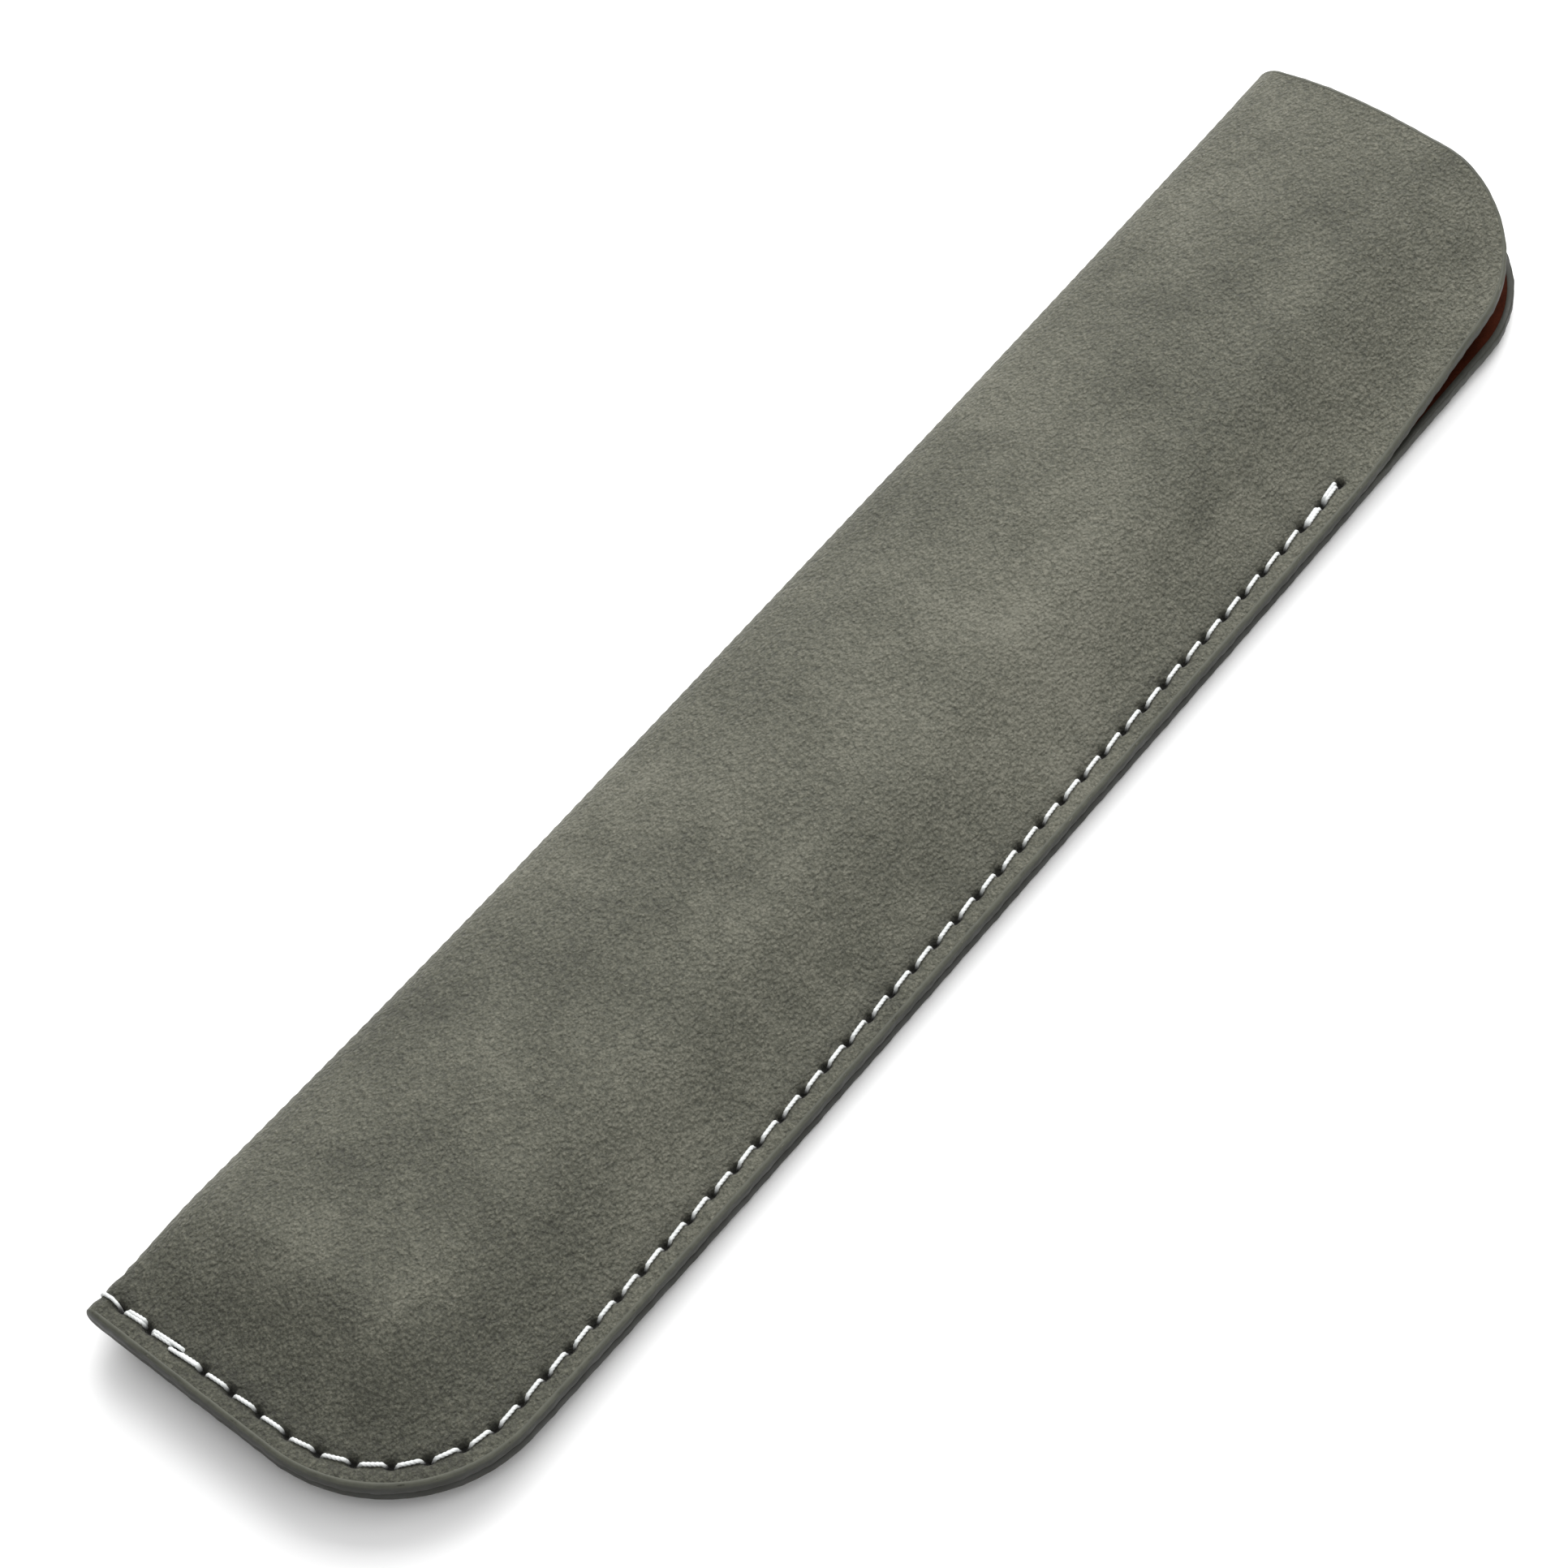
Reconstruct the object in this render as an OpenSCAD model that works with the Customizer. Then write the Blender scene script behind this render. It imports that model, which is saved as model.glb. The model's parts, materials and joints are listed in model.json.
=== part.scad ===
// Single pen sleeve: one leather blank folded along its long side, lined, cemented
// and lock-stitched along the bottom and up the open side, with painted edges.
// Millimetres. The origin is under the middle of the sleeve, on the surface that it
// lies on: +X from the fold to the sewn side, +Y from the sewn end to the mouth, +Z up.

/* [Sleeve] */
// Length of the sleeve, from the sewn end to the mouth
sleeve_l = 175; // [160:1:185]
// Width of the sleeve, from the fold to the sewn edge
sleeve_w = 37.5; // [35:0.5:44]
// Radius of the sewn corner
corner_r = 15.8; // [13:0.2:17]
// Radius of the free corners at the mouth
mouth_r = 13.5; // [10:0.5:15]

/* [Layers] */
// Thickness of the outer leather
leather_t = 1.0; // [0.8:0.1:1.2]
// Thickness of the lining
lining_t = 0.4; // [0.3:0.05:0.5]
// Thickness of the cement film in the seam
cement_t = 0.1; // [0.06:0.01:0.15]
// Thickness of the edge paint
paint_t = 0.15; // [0.1:0.01:0.2]

/* [Pocket] */
// Clear height of the pocket in the middle of its width
pocket_h = 5.2; // [4.8:0.1:6]
// Share of that height which is left at the fold
fold_share = 0.35; // [0.25:0.05:0.5]
// How far the free corner of the front stands off the back at the mouth
gape = 3.0; // [2:0.1:4]
// How far the bowed front draws its free edge in at the mouth
draw_in = 1.5; // [0.5:0.1:2]
// Height that the sewn end curls up off the surface
rise_bottom = 2.8; // [1:0.1:3]
// Height that the mouth curls up off the surface
rise_mouth = 1.1; // [0.5:0.1:1.2]
// Half length of the flat stretch that the sleeve lies on
rest_half = 22; // [18:1:30]

/* [Seam] */
// Distance of the stitches from the edge
seam_inset = 2.1; // [1.8:0.1:2.6]
// Length of one stitch
stitch = 3.2; // [3:0.1:3.4]
// Number of stitches
stitches = 52; // [46:1:52]
// Diameter of the sewing thread
thread_d = 0.44; // [0.35:0.01:0.5]

/* [Lip] */
// Distance from the fold to the flex line, along the mouth
lip_start = 7; // [6:0.5:9]
// Distance from the last stitch to the flex line, along the side
lip_above = 7; // [6:0.5:9]
// How far the lip can be pressed shut, in degrees
lip_shut = 6; // [2:1:6]

/* [Hidden] */

ply = leather_t + lining_t;
seam_r = corner_r - seam_inset;                       // radius of the stitch line
first_hole = 2.67;                                    // first needle hole, from the fold
seam_len = (sleeve_w - corner_r) + seam_r * PI / 2;   // fold to the top of the corner
seam_end = first_hole + (stitches - 1) * stitch - seam_len + corner_r;
ramp_w = 13;                                          // the pocket rises over this width
fold_w = 17;                                          // and falls to the fold over this one
flex_a = [sleeve_w, seam_end + lip_above];            // lower end of the flex line
flex_b = [lip_start, sleeve_l];                       // upper end of the flex line
flex_d = (flex_b - flex_a) / norm(flex_b - flex_a);
flex_n = [-flex_d[1], flex_d[0]] * -1;                // towards the free corner

function clamp01(x) = min(1, max(0, x));
function smooth(x) = let(c = clamp01(x)) c * c * (3 - 2 * c);
function lerp(a, b, t) = a + (b - a) * t;

// Height of the back over the surface: flat in the middle, curled up at both ends
function arch(v) =
    let(h = sleeve_l / 2, d = max(0, abs(v - h) - rest_half) / (h - rest_half))
    (v > h ? rise_mouth : rise_bottom) * d * d;

// Distance inside the stitch line
function seam_dist(u, v) =
    (u > sleeve_w - corner_r && v < corner_r)
    ? seam_r - norm([u - (sleeve_w - corner_r), v - corner_r])
    : min(sleeve_w - seam_inset - u, v - seam_inset);

// How far the free edge is open, from 0 at the last stitch to 1 at the mouth
function open_share(v) = pow(smooth((v - seam_end) / (sleeve_l - seam_end)), 0.8);

// Clear height between the two linings
function clear(u, v) =
    let(q = gape / pocket_h * open_share(v),
        s = smooth(seam_dist(u, v) / ramp_w),
        x = clamp01(u / fold_w),
        f = fold_share + (1 - fold_share) * (1 - (1 - x) * (1 - x)))
    pocket_h * (q + (1 - q) * s) * f + cement_t;

function fold_rad(v) = ply + clear(0, v) / 2;

// A point of the blank: o is the depth below its outer face.
// Back ply, fold (a from -90 at the back to 90 at the front) and front ply.
function back_pt(u, v, o) = [u, v, arch(v) + o];
function fold_pt(a, v, o) =
    let(r = fold_rad(v), uo = r * (1 - cos(a)))
    [r - (r - o) * cos(a), v,
     arch(v) + (a < 0 ? r : 2 * ply + clear(uo, v) - r) + (r - o) * sin(a)];
function front_pt(u, v, o) = [u, v, arch(v) + 2 * ply + clear(u, v) - o];

// Outline of the sewn edge and the back ply at height v, drawn in by i
function edge_u(v, i) =
    v < corner_r ? sleeve_w - corner_r + sqrt(max(0, pow(corner_r - i, 2) - pow(corner_r - v, 2)))
    : v > sleeve_l - mouth_r ? sleeve_w - mouth_r + sqrt(max(0, pow(mouth_r - i, 2) - pow(v - sleeve_l + mouth_r, 2)))
    : sleeve_w - i;
// The flex line at height v
function flex_u(v) = flex_a[0] + (flex_b[0] - flex_a[0]) * (v - flex_a[1]) / (flex_b[1] - flex_a[1]);
// Right edge of the fixed part of the front ply
function front_u(v, i) = v < flex_a[1] ? edge_u(v, i) : min(sleeve_w - i, flex_u(v));

// Heights of the rows of points, closer together round the two corners
function rows(i) = concat(
    [for (k = [0:11]) corner_r - (corner_r - i) * cos(k * 7.5)],
    [for (k = [0:11]) lerp(corner_r, flex_a[1], k / 12)],
    [for (k = [0:3]) lerp(flex_a[1], sleeve_l - mouth_r, k / 4)],
    [for (k = [0:12]) sleeve_l - mouth_r + (mouth_r - i) * sin(k * 7.5)]);

n_back = 4;
n_fold = 8;
n_front = 12;
function sheet_row(v, o, i) = concat(
    let(r = fold_rad(v), e = edge_u(v, i)) [for (k = [0:n_back - 1]) back_pt(lerp(e, r, k / n_back), v, o)],
    [for (k = [0:n_fold - 1]) fold_pt(-90 + 180 * k / n_fold, v, o)],
    let(r = fold_rad(v), e = front_u(v, i)) [for (k = [0:n_front]) front_pt(lerp(r, e, k / n_front), v, o)]);

// Closed solid between two grids of points of the same size
module slab(top, bottom) {
    nr = len(top);
    nc = len(top[0]);
    function t(j, i) = j * nc + i;
    function b(j, i) = nr * nc + j * nc + i;
    pts = concat([for (r = top) each r], [for (r = bottom) each r]);
    faces = concat(
        [for (j = [0:nr - 2], i = [0:nc - 2]) each [[t(j, i), t(j + 1, i), t(j + 1, i + 1)], [t(j, i), t(j + 1, i + 1), t(j, i + 1)]]],
        [for (j = [0:nr - 2], i = [0:nc - 2]) each [[b(j, i), b(j + 1, i + 1), b(j + 1, i)], [b(j, i), b(j, i + 1), b(j + 1, i + 1)]]],
        [for (j = [0:nr - 2]) each [[t(j, 0), b(j, 0), b(j + 1, 0)], [t(j, 0), b(j + 1, 0), t(j + 1, 0)]]],
        [for (j = [0:nr - 2]) each [[t(j, nc - 1), b(j + 1, nc - 1), b(j, nc - 1)], [t(j, nc - 1), t(j + 1, nc - 1), b(j + 1, nc - 1)]]],
        [for (i = [0:nc - 2]) each [[t(0, i), t(0, i + 1), b(0, i + 1)], [t(0, i), b(0, i + 1), b(0, i)]]],
        [for (i = [0:nc - 2]) each [[t(nr - 1, i), b(nr - 1, i + 1), t(nr - 1, i + 1)], [t(nr - 1, i), b(nr - 1, i), b(nr - 1, i + 1)]]]);
    polyhedron(pts, faces);
}

// Closed solid through a run of rings with the same number of points
module sweep(rings) {
    nr = len(rings);
    nc = len(rings[0]);
    pts = [for (r = rings) each r];
    faces = concat(
        [for (j = [0:nr - 2], i = [0:nc - 1]) let(k = (i + 1) % nc)
            each [[j * nc + i, j * nc + k, (j + 1) * nc + k], [j * nc + i, (j + 1) * nc + k, (j + 1) * nc + i]]],
        [for (i = [1:nc - 2]) [0, i + 1, i]],
        [for (i = [1:nc - 2]) [(nr - 1) * nc, (nr - 1) * nc + i, (nr - 1) * nc + i + 1]]);
    polyhedron(pts, faces);
}

module place() translate([-sleeve_w / 2, -sleeve_l / 2, 0]) children();

module sheet(o1, o2) {
    v_all = rows(paint_t);
    slab([for (v = v_all) sheet_row(v, o1, paint_t)], [for (v = v_all) sheet_row(v, o2, paint_t)]);
}

module outer_leather() color([0.40, 0.40, 0.36]) place() sheet(0, leather_t);
module lining() color([0.36, 0.19, 0.12]) place() sheet(leather_t, ply);

// ---- the free lip of the front ply ----
// The axis of the flex line touches the outer face of the leather from above
flex_len = norm(flex_b - flex_a);
function flex_xy(a) = flex_a + flex_d * (a * flex_len);
function flex_z(a) = let(p = flex_xy(a)) front_pt(p[0], p[1], 0)[2];
flex_mid = 0.5;
flex_slope = (flex_z(flex_mid + 0.02) - flex_z(flex_mid - 0.02)) / 0.04;
function axis_z(a) = flex_z(flex_mid) + flex_slope * (a - flex_mid);
// Room left along the flex line, so that the pressed lip stays clear of the rest
function relief(a) = 0.4 + max(0, axis_z(a) - flex_z(a) + ply) * sin(lip_shut);

function lip_edge_u(v) = sleeve_w - draw_in * open_share(v);
function in_lip(p, i) =
    p[1] <= sleeve_l - i &&
    (p[1] <= sleeve_l - mouth_r ? p[0] <= lip_edge_u(p[1]) - i
     : norm([max(0, p[0] - (lip_edge_u(p[1]) - mouth_r)), p[1] - (sleeve_l - mouth_r)]) <= mouth_r - i);
function reach(p, i, lo = 0, hi = 30, n = 26) =
    n == 0 ? lo : let(m = (lo + hi) / 2) in_lip(p + flex_n * m, i) ? reach(p, i, m, hi, n - 1) : reach(p, i, lo, m, n - 1);
lip_cols = 26;
lip_rows = 6;
function lip_a(k) = let(x = k / lip_cols) lerp(0.045, 0.972, 0.5 - 0.5 * cos(180 * x) * 0.6 - 0.4 * (0.5 - x));
function lip_xy(k, t, i) =
    let(a = lip_a(k), p = flex_xy(a), s = relief(a), e = reach(p, i)) p + flex_n * lerp(s, max(e, s + 0.05), t);
function lip_grid(o, i) = [for (k = [0:lip_cols]) [for (t = [0:lip_rows]) let(q = lip_xy(k, t / lip_rows, i)) front_pt(q[0], q[1], o)]];

module lip_leather() color([0.42, 0.42, 0.38]) place() slab(lip_grid(0, paint_t), lip_grid(leather_t, paint_t));
module lip_lining() color([0.38, 0.20, 0.13]) place() slab(lip_grid(leather_t, paint_t), lip_grid(ply, paint_t));

// ---- edge paint ----
bead = 0.22;   // rounding of the paint at both faces
function bead_ring(pi, po) = [pi[0], po[0] + (po[1] - po[0]) * bead / norm(po[1] - po[0]),
                              po[1] + (po[0] - po[1]) * bead / norm(po[1] - po[0]), pi[1]];
function turned(r) = [r[3], r[2], r[1], r[0]];

module lip_edge_paint() color([0.24, 0.26, 0.24]) place()
    sweep([for (k = [0:lip_cols])
        let(a = lip_xy(k, 1, paint_t), b = lip_xy(k, 1, 0))
        turned(bead_ring([front_pt(a[0], a[1], 0), front_pt(a[0], a[1], ply)],
                         [front_pt(b[0], b[1], 0), front_pt(b[0], b[1], ply)]))]);

// The two plies at the seam are painted as one edge, from the fold to the last stitch
function low(u, v) = u < fold_rad(v) ? let(r = fold_rad(v)) arch(v) + r - sqrt(max(0.01, r * r - pow(r - u, 2))) : arch(v);
function high(u, v) = u < fold_rad(v) ? let(r = fold_rad(v)) arch(v) + r + sqrt(max(0.01, r * r - pow(r - u, 2))) : front_pt(u, v, 0)[2];
function rim_xy(i) = concat(
    [for (k = [0:5]) [lerp(0.12, sleeve_w - corner_r, pow(k / 6, 1.5)), i]],
    [for (k = [0:11]) [sleeve_w - corner_r + (corner_r - i) * sin(k * 7.5), corner_r - (corner_r - i) * cos(k * 7.5)]],
    [for (k = [0:13]) [sleeve_w - i, lerp(corner_r, seam_end, k / 13)]]);
module seam_edge_paint() color([0.24, 0.26, 0.24]) place()
    sweep(let(a = rim_xy(paint_t), b = rim_xy(0)) [for (k = [0:len(a) - 1])
        let(pa = a[k], pb = b[k])
        bead_ring([[pa[0], pa[1], low(pa[0], pa[1])], [pa[0], pa[1], high(pa[0], pa[1])]],
                  [[pb[0], pb[1], low(pb[0], pb[1])], [pb[0], pb[1], high(pb[0], pb[1])]])]);

// Single edge of the back ply up the open side, round the mouth and over the fold
function mouth_ring(k, i) =
    k < 7 ? let(v = lerp(seam_end + 0.3, sleeve_l - mouth_r, k / 7)) [back_pt(sleeve_w - i, v, 0), back_pt(sleeve_w - i, v, ply)]
    : k < 19 ? let(a = (k - 7) * 7.5, v = sleeve_l - mouth_r + (mouth_r - i) * sin(a), u = sleeve_w - mouth_r + (mouth_r - i) * cos(a))
        [back_pt(u, v, 0), back_pt(u, v, ply)]
    : k < 22 ? let(v = sleeve_l - i, u = lerp(sleeve_w - mouth_r, fold_rad(v), (k - 19) / 3)) [back_pt(u, v, 0), back_pt(u, v, ply)]
    : k < 32 ? let(v = sleeve_l - i, a = -90 + (k - 22) * 18) [fold_pt(a, v, 0), fold_pt(a, v, ply)]
    : let(v = sleeve_l - i, u = lerp(fold_rad(v), lip_start - 0.15, (k - 32) / 2)) [front_pt(u, v, 0), front_pt(u, v, ply)];
module mouth_edge_paint() color([0.24, 0.26, 0.24]) place()
    sweep([for (k = [0:34]) bead_ring(mouth_ring(k, paint_t), mouth_ring(k, 0))]);

// ---- seam ----
// A point of the stitch line, s along it from the fold, and the direction into the sleeve
function seam_xy(s, d = 0) =
    let(c = sleeve_w - corner_r, q = seam_r * PI / 2)
    s < c ? [s, seam_inset + d]
    : s < c + q ? let(a = (s - c) / q * 90) [c + (seam_r - d) * sin(a), corner_r - (seam_r - d) * cos(a)]
    : [sleeve_w - seam_inset - d, corner_r + s - c - q];
function seam_in(s) = let(a = seam_xy(s), b = seam_xy(s, 1)) [b[0] - a[0], b[1] - a[1], 0];
function hole(i) = first_hole + i * stitch;
thread_r = thread_d / 2;

module cement_band() {
    n = 64;
    s_end = hole(stitches - 1);
    slack = 0.02;   // keeps the flat facets of the film out of the curved linings
    lo = ply + slack;
    hi = ply + cement_t - slack;
    rings = [for (k = [0:n]) let(s = lerp(ply + 0.6, s_end, k / n), a = seam_xy(s, paint_t - seam_inset + 0.1), b = seam_xy(s, 1.6))
        [back_pt(a[0], a[1], lo), back_pt(b[0], b[1], lo), back_pt(b[0], b[1], hi), back_pt(a[0], a[1], hi)]];
    sweep([for (r = rings) turned(r)]);
}
module seam_cement() color([0.85, 0.80, 0.62]) place() cement_band();

// Each thread dips into the needle holes and locks with the other one halfway down.
// Points come with the sideways direction of the tube there.
function on_front(s, d, z) = let(p = seam_xy(s, d), q = front_pt(p[0], p[1], 0)) [[q[0], q[1], q[2] + z], seam_in(s)];
function on_back(s, d, z) = let(p = seam_xy(s, d)) [[p[0], p[1], arch(p[1]) + z], seam_in(s)];
function wrap(a) = let(p = fold_pt(a, seam_inset, 0), r = fold_rad(seam_inset)) [[p[0] + 0.2 * cos(a), p[1], p[2] - 0.2 * sin(a)], [0, 1, 0]];
mid_z = ply + cement_t / 2;
needle_pts = concat(
    [on_back(first_hole, 0, mid_z - 0.5), on_back(first_hole - 0.3, 0, thread_r + 0.02)],
    [for (a = [-70, -35, 0, 35, 70]) wrap(a)],
    [on_front(first_hole - 0.35, 0.1, 0.04), on_front(first_hole, 0, -mid_z)],
    [for (i = [1:stitches - 1]) each [on_front(hole(i - 1) + 0.35, -0.12, 0.04), on_front(hole(i) - 0.35, 0.12, 0.04), on_front(hole(i), 0, -mid_z)]]);
bobbin_pts = concat(
    [on_back(first_hole, 0, mid_z)],
    [for (i = [1:stitches - 1]) each [on_back(hole(i - 1) + 0.35, 0.12, thread_r + 0.01), on_back(hole(i) - 0.35, -0.12, thread_r + 0.01), on_back(hole(i), 0, mid_z)]]);

function unit(v) = v / norm(v);
module thread(pts, sides = 6) {
    n = len(pts);
    sweep([for (k = [0:n - 1])
        let(t = unit(pts[min(k + 1, n - 1)][0] - pts[max(k - 1, 0)][0]),
            l = unit(pts[k][1] - t * (pts[k][1] * t)),
            m = cross(t, l))
        [for (j = [0:sides - 1]) let(a = 360 * j / sides) pts[k][0] + thread_r * (cos(a) * l - sin(a) * m)]]);
}
module needle_thread() color([0.93, 0.93, 0.90]) place() thread(needle_pts);
module bobbin_thread() color([0.93, 0.93, 0.90]) place() thread(bobbin_pts);

outer_leather();
lining();
lip_leather();
lip_lining();
needle_thread();
bobbin_thread();
seam_cement();
seam_edge_paint();
mouth_edge_paint();
lip_edge_paint();
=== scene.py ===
import json
import math

import bmesh
import bpy
import numpy as np
from mathutils import Matrix, Quaternion, Vector
from mathutils.geometry import delaunay_2d_cdt


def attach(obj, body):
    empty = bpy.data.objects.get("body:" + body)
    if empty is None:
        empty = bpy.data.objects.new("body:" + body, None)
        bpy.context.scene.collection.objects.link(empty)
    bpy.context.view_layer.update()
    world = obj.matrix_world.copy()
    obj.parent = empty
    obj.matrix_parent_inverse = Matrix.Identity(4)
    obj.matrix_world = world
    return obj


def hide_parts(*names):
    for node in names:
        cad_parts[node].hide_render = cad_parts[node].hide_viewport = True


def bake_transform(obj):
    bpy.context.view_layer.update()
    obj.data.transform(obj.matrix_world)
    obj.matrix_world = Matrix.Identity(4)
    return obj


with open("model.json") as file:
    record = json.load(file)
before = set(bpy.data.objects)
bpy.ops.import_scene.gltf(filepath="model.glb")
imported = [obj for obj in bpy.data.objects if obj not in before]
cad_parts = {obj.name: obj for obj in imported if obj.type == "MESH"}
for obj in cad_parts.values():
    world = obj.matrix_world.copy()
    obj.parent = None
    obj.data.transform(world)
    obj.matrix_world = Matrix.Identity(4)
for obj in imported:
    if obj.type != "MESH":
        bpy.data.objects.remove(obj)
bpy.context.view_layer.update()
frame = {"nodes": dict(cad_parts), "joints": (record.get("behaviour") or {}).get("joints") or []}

# ---------------------------------------------------------------- camera
cam_data = bpy.data.cameras.new("camera")
cam = bpy.data.objects.new("camera", cam_data)
bpy.context.scene.collection.objects.link(cam)
cam.location = (0.1387, -0.16504, 0.34322)
cam.rotation_mode = "QUATERNION"
cam.rotation_quaternion = Quaternion((0.908957, 0.2529, 0.109712, 0.312733))
cam_data.sensor_width = 36.0
cam_data.lens = 99.256
cam_data.clip_start = 0.01
cam_data.clip_end = 20.0
cam_data.dof.use_dof = False
bpy.context.scene.camera = cam

# ---------------------------------------------------------------- sizes, millimetres
W, L = 37.5, 175.0
CORNER_R, MOUTH_R = 15.8, 13.5
LEATHER, LINING, CEMENT = 1.0, 0.4, 0.1
PLY = LEATHER + LINING
POCKET, FOLD_SHARE, GAPE, DRAW_IN = 5.2, 0.35, 3.0, 1.5
RISE_BOTTOM, RISE_MOUTH, REST_HALF = 2.8, 1.1, 22.0
INSET, STITCH, N_STITCH, FIRST_HOLE = 2.1, 3.2, 52, 2.67
SEAM_R = CORNER_R - INSET
SEAM_LEN = (W - CORNER_R) + SEAM_R * math.pi / 2
SEAM_END = FIRST_HOLE + (N_STITCH - 1) * STITCH - SEAM_LEN + CORNER_R
RAMP_W, FOLD_W = 13.0, 17.0
EDGE_IN = 0.08           # the leather stops this far inside the painted edge
ROUND = 0.24             # radius of the cut edge on the outer face
W_JOIN = -5.0            # the front and back pieces meet here, on the flat underside


def smooth(x):
    x = np.clip(x, 0.0, 1.0)
    return x * x * (3 - 2 * x)


def arch(v):
    d = np.maximum(0.0, np.abs(v - L / 2) - REST_HALF) / (L / 2 - REST_HALF)
    return np.where(v > L / 2, RISE_MOUTH, RISE_BOTTOM) * d * d


def seam_dist(u, v):
    in_corner = (u > W - CORNER_R) & (v < CORNER_R)
    return np.where(in_corner, SEAM_R - np.hypot(u - (W - CORNER_R), v - CORNER_R),
                    np.minimum(W - INSET - u, v - INSET))


def open_share(v):
    return smooth((v - SEAM_END) / (L - SEAM_END)) ** 0.8


def clear(u, v):
    q = GAPE / POCKET * open_share(v)
    s = smooth(seam_dist(u, v) / RAMP_W)
    x = np.clip(u / FOLD_W, 0.0, 1.0)
    f = FOLD_SHARE + (1 - FOLD_SHARE) * (1 - (1 - x) ** 2)
    return POCKET * (q + (1 - q) * s) * f + CEMENT


def fold_rad(v):
    return PLY + clear(0 * v, v) / 2


def outer(w, v):
    """Outer face of the blank: w runs from the edge of the back ply (-W) round the fold (0) to the front edge."""
    r = fold_rad(v)
    a = np.clip(w / r, -1, 1) * (math.pi / 2)
    u = np.where(np.abs(w) >= r, np.abs(w), r * (1 - np.cos(a)))
    top = 2 * PLY + clear(u, v)
    z = np.where(w >= r, top, np.where(w <= -r, 0.0, np.where(a < 0, r, top - r) + r * np.sin(a)))
    return np.stack([u, v, arch(v) + z], -1)


def outer_frame(w, v, e=0.03):
    p = outer(w, v)
    dw = outer(w + e, v) - outer(w - e, v)
    dv = outer(w, v + e) - outer(w, v - e)
    n = np.cross(dw, dv)
    n /= np.linalg.norm(n, axis=-1, keepdims=True)
    return p, n, dw / (2 * e), dv / (2 * e)


def to_row(p):
    return (p - np.array([W / 2, L / 2, 0.0])) / 1000.0


# ---------------------------------------------------------------- seam line
def seam_xy(s, d=0.0):
    s = np.asarray(s, float)
    c, q = W - CORNER_R, SEAM_R * math.pi / 2
    a = np.clip((s - c) / q, 0, 1) * (math.pi / 2)
    u = np.where(s < c, s, np.where(s < c + q, c + (SEAM_R - d) * np.sin(a), W - INSET - d))
    v = np.where(s < c, INSET + d, np.where(s < c + q, CORNER_R - (SEAM_R - d) * np.cos(a), CORNER_R + s - c - q))
    return u, v


HOLES = FIRST_HOLE + STITCH * np.arange(N_STITCH)
HOLE_U, HOLE_V = seam_xy(HOLES)


def seam_s(u, v):
    """Distance along the stitch line of the point of it that is nearest to (u, v), and the distance outside it."""
    c, q = W - CORNER_R, SEAM_R * math.pi / 2
    du, dv = u - c, CORNER_R - v
    corner = (du > 0) & (dv > 0)
    ang = np.arctan2(np.maximum(du, 1e-9), np.maximum(dv, 1e-9))
    s = np.where(corner, c + SEAM_R * ang, np.where(du <= 0, u, c + q + (v - CORNER_R)))
    out = np.where(corner, np.hypot(du, dv) - SEAM_R, np.where((du <= 0) & (dv > 0), INSET - v, u - (W - INSET)))
    return s, out


def wave(u, v):
    """Slow unevenness of the soft front, in mm."""
    return (0.10 * np.sin(u * 0.23 + 1.3 * np.sin(v * 0.043 + 0.6)) * np.sin(v * 0.071 + 0.9)
            + 0.07 * np.sin(v * 0.135 + 0.35 * u + 2.0) * np.cos(u * 0.16 - 0.05 * v)
            + 0.04 * np.sin(0.31 * v - 0.22 * u))


def relief(w, v):
    """Height of the worked surface over the plain one: stitch groove, needle holes, margin and waves."""
    u = np.abs(w)
    s, out = seam_s(u, v)
    along = smooth((HOLES[-1] + 0.9 - s) / 0.8) * smooth((s + 3.0) / 1.0)
    front = w > 0
    groove = -np.where(front, 0.13, 0.26) * np.exp(-(out / np.where(front, 0.55, 0.34)) ** 2)
    margin = 0.05 * np.exp(-((out - 1.05) / 0.5) ** 2)
    inner = 0.05 * np.exp(-((out + 1.1) / 0.6) ** 2)
    k = np.clip(np.round((s - FIRST_HOLE) / STITCH), 0, N_STITCH - 1)
    ds = s - (FIRST_HOLE + k * STITCH)
    lean = np.where(front, 1.0, -1.0)
    o2 = out - 0.10 * lean * ds
    pit = -0.72 * np.exp(-((np.abs(ds) / 0.50) ** 3.0 + (np.abs(o2) / 0.36) ** 3.0))
    dish = -0.10 * np.exp(-((ds / 0.95) ** 2 + (out / 0.8) ** 2))
    z = along * (groove + np.where(front, margin + inner, 0.0) + pit + np.where(front, dish, dish * 0.4))
    z = z + np.where(front, wave(u, v) * smooth(seam_dist(u, v) / 7) * smooth(u / 8.0) * smooth((L - v) / 14 + 0.35), 0.0)
    return z


def shading(w, v):
    """Painted shade on the leather: 1 in the needle holes, a little along the inner side of the seam."""
    u = np.abs(w)
    s, out = seam_s(u, v)
    along = smooth((HOLES[-1] + 0.9 - s) / 0.8) * smooth((s + 3.0) / 1.0)
    k = np.clip(np.round((s - FIRST_HOLE) / STITCH), 0, N_STITCH - 1)
    ds = s - (FIRST_HOLE + k * STITCH)
    o2 = out - np.where(w > 0, 0.10, -0.10) * ds
    pit = np.exp(-((np.abs(ds) / 0.62) ** 3.4 + (np.abs(o2) / 0.46) ** 3.4))
    soft = 0.20 * np.exp(-((out + 0.5) / 0.9) ** 2) + 0.10 * np.exp(-((out + 1.2) / 2.4) ** 2)
    return along * np.maximum(pit, soft)


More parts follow.
